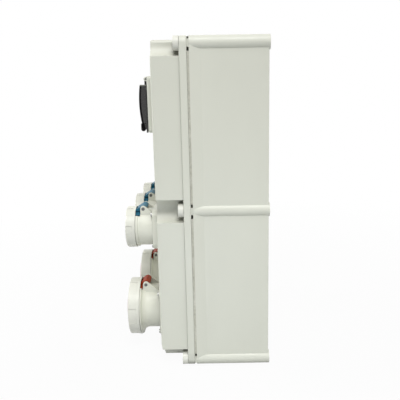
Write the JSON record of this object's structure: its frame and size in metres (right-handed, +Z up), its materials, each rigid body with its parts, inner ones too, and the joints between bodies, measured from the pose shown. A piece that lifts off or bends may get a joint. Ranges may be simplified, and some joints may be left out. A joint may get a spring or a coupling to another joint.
{
  "type": "site distribution board",
  "caption": "Wall-mounted moulded distribution board with a deep rear box, a raised front cover, a smoked flap over breakers, and industrial sockets with hinged lids in bayonet rings.",
  "frame": {"origin": "on the wall plane, at the middle of the four wall fixings", "axes": "+X to the right of someone facing the board, +Y into the wall, +Z up"},
  "size_m": [0.34, 0.2313, 0.504],
  "materials": {
    "grey_plastic": "fine moulded satin, light grey",
    "pale_plastic": "satin moulded, paler grey",
    "smoked_flap": "smoked clear plastic",
    "blue_plastic": "satin moulded, blue",
    "red_plastic": "satin moulded, red",
    "rubber": "matt black rubber",
    "foam": "light grey foam",
    "steel": "zinc plated",
    "dark_steel": "blackened steel",
    "brass": "plain brass",
    "black_plastic": "satin black",
    "breaker_plastic": "matt pale grey",
    "lever_plastic": "satin dark grey",
    "button": "satin yellow"
  },
  "bodies": {
    "board": {"rear_box": "grey_plastic", "front_cover": "grey_plastic", "cover_gasket": "foam", "screw_inserts": "brass", "cover_screws": "pale_plastic", "window_frame": "grey_plastic", "window_seal": "rubber", "window_hinge_rod": "dark_steel", "din_rail": "steel", "rail_brackets": "steel", "rail_screws": "steel", "breaker_terminal_screws": "steel", "earth_bar": "brass", "neutral_bar": "brass", "bar_holders": "black_plastic", "bar_screws": "steel", "blue_inserts": "blue_plastic", "red_inserts": "red_plastic", "blue_contacts": "brass", "red_contacts": "brass", "lid_hinge_pins": "dark_steel", "lid_springs": "steel", "socket_flange_seals": "rubber", "socket_screws": "steel", "blue_left_housing": "grey_plastic", "blue_middle_housing": "grey_plastic", "blue_right_housing": "grey_plastic", "red_left_housing": "grey_plastic", "red_right_housing": "grey_plastic", "rcd_body": "breaker_plastic", "mcb_three_pole_left_body": "breaker_plastic", "mcb_three_pole_right_body": "breaker_plastic", "mcb_single_left_body": "breaker_plastic", "mcb_single_middle_body": "breaker_plastic", "mcb_single_right_body": "breaker_plastic"},
    "window_flap": {"window_flap": "smoked_flap"},
    "blue_left_lid": {"blue_left_lid": "blue_plastic", "blue_left_seal": "rubber"},
    "blue_left_ring": {"blue_left_ring": "pale_plastic"},
    "blue_middle_lid": {"blue_middle_lid": "blue_plastic", "blue_middle_seal": "rubber"},
    "blue_middle_ring": {"blue_middle_ring": "pale_plastic"},
    "blue_right_lid": {"blue_right_lid": "blue_plastic", "blue_right_seal": "rubber"},
    "blue_right_ring": {"blue_right_ring": "pale_plastic"},
    "red_left_lid": {"red_left_lid": "red_plastic", "red_left_seal": "rubber"},
    "red_left_ring": {"red_left_ring": "pale_plastic"},
    "red_right_lid": {"red_right_lid": "red_plastic", "red_right_seal": "rubber"},
    "red_right_ring": {"red_right_ring": "pale_plastic"},
    "rcd_lever": {"rcd_lever": "lever_plastic"},
    "rcd_test_button": {"rcd_test_button": "button"},
    "mcb_three_pole_left_lever": {"mcb_three_pole_left_lever": "lever_plastic"},
    "mcb_three_pole_right_lever": {"mcb_three_pole_right_lever": "lever_plastic"},
    "mcb_single_left_lever": {"mcb_single_left_lever": "lever_plastic"},
    "mcb_single_middle_lever": {"mcb_single_middle_lever": "lever_plastic"},
    "mcb_single_right_lever": {"mcb_single_right_lever": "lever_plastic"}
  },
  "joints": [
    {"name": "window_flap_hinge", "type": "hinge", "parent": "board", "child": "window_flap", "pos_m": [0, -0.1812, 0.1935], "axis": [-1, 0, 0], "range_deg": [0, 100]},
    {"name": "blue_left_lid_hinge", "type": "hinge", "parent": "board", "child": "blue_left_lid", "pos_m": [-0.106, -0.1948, -0.00495], "axis": [-1, 0, 0], "range_deg": [0, 110], "stiffness_Nm_per_rad": 0.05, "springref_deg": -34.38},
    {"name": "blue_left_ring_turn", "type": "hinge", "parent": "blue_left_lid", "child": "blue_left_ring", "pos_m": [-0.106, -0.215, -0.03775], "axis": [0, 1, 0], "range_deg": [0, 40]},
    {"name": "blue_middle_lid_hinge", "type": "hinge", "parent": "board", "child": "blue_middle_lid", "pos_m": [0, -0.1948, -0.00495], "axis": [-1, 0, 0], "range_deg": [0, 110], "stiffness_Nm_per_rad": 0.05, "springref_deg": -34.38},
    {"name": "blue_middle_ring_turn", "type": "hinge", "parent": "blue_middle_lid", "child": "blue_middle_ring", "pos_m": [0, -0.215, -0.03775], "axis": [0, 1, 0], "range_deg": [0, 40]},
    {"name": "blue_right_lid_hinge", "type": "hinge", "parent": "board", "child": "blue_right_lid", "pos_m": [0.106, -0.1948, -0.00495], "axis": [-1, 0, 0], "range_deg": [0, 110], "stiffness_Nm_per_rad": 0.05, "springref_deg": -34.38},
    {"name": "blue_right_ring_turn", "type": "hinge", "parent": "blue_right_lid", "child": "blue_right_ring", "pos_m": [0.106, -0.215, -0.03775], "axis": [0, 1, 0], "range_deg": [0, 40]},
    {"name": "red_left_lid_hinge", "type": "hinge", "parent": "board", "child": "red_left_lid", "pos_m": [-0.0795, -0.1999, -0.1414], "axis": [-1, 0, 0], "range_deg": [0, 110], "stiffness_Nm_per_rad": 0.05, "springref_deg": -34.38},
    {"name": "red_left_ring_turn", "type": "hinge", "parent": "red_left_lid", "child": "red_left_ring", "pos_m": [-0.0795, -0.218, -0.1852], "axis": [0, 1, 0], "range_deg": [0, 40]},
    {"name": "red_right_lid_hinge", "type": "hinge", "parent": "board", "child": "red_right_lid", "pos_m": [0.0795, -0.1999, -0.1414], "axis": [-1, 0, 0], "range_deg": [0, 110], "stiffness_Nm_per_rad": 0.05, "springref_deg": -34.38},
    {"name": "red_right_ring_turn", "type": "hinge", "parent": "red_right_lid", "child": "red_right_ring", "pos_m": [0.0795, -0.218, -0.1852], "axis": [0, 1, 0], "range_deg": [0, 40]},
    {"name": "rcd_lever_swing", "type": "hinge", "parent": "board", "child": "rcd_lever", "pos_m": [-0.07875, -0.16, 0.1558], "axis": [1, 0, 0], "range_deg": [0, 70]},
    {"name": "rcd_test_press", "type": "slide", "parent": "board", "child": "rcd_test_button", "axis": [0, 1, 0], "range_m": [0, 0.002], "stiffness_N_per_m": 300},
    {"name": "mcb_three_pole_left_lever_swing", "type": "hinge", "parent": "board", "child": "mcb_three_pole_left_lever", "pos_m": [-0.0175, -0.16, 0.1558], "axis": [1, 0, 0], "range_deg": [0, 70]},
    {"name": "mcb_three_pole_right_lever_swing", "type": "hinge", "parent": "board", "child": "mcb_three_pole_right_lever", "pos_m": [0.035, -0.16, 0.1558], "axis": [1, 0, 0], "range_deg": [0, 70]},
    {"name": "mcb_single_left_lever_swing", "type": "hinge", "parent": "board", "child": "mcb_single_left_lever", "pos_m": [0.07, -0.16, 0.1558], "axis": [1, 0, 0], "range_deg": [0, 70]},
    {"name": "mcb_single_middle_lever_swing", "type": "hinge", "parent": "board", "child": "mcb_single_middle_lever", "pos_m": [0.0875, -0.16, 0.1558], "axis": [1, 0, 0], "range_deg": [0, 70]},
    {"name": "mcb_single_right_lever_swing", "type": "hinge", "parent": "board", "child": "mcb_single_right_lever", "pos_m": [0.105, -0.16, 0.1558], "axis": [1, 0, 0], "range_deg": [0, 70]}
  ]
}
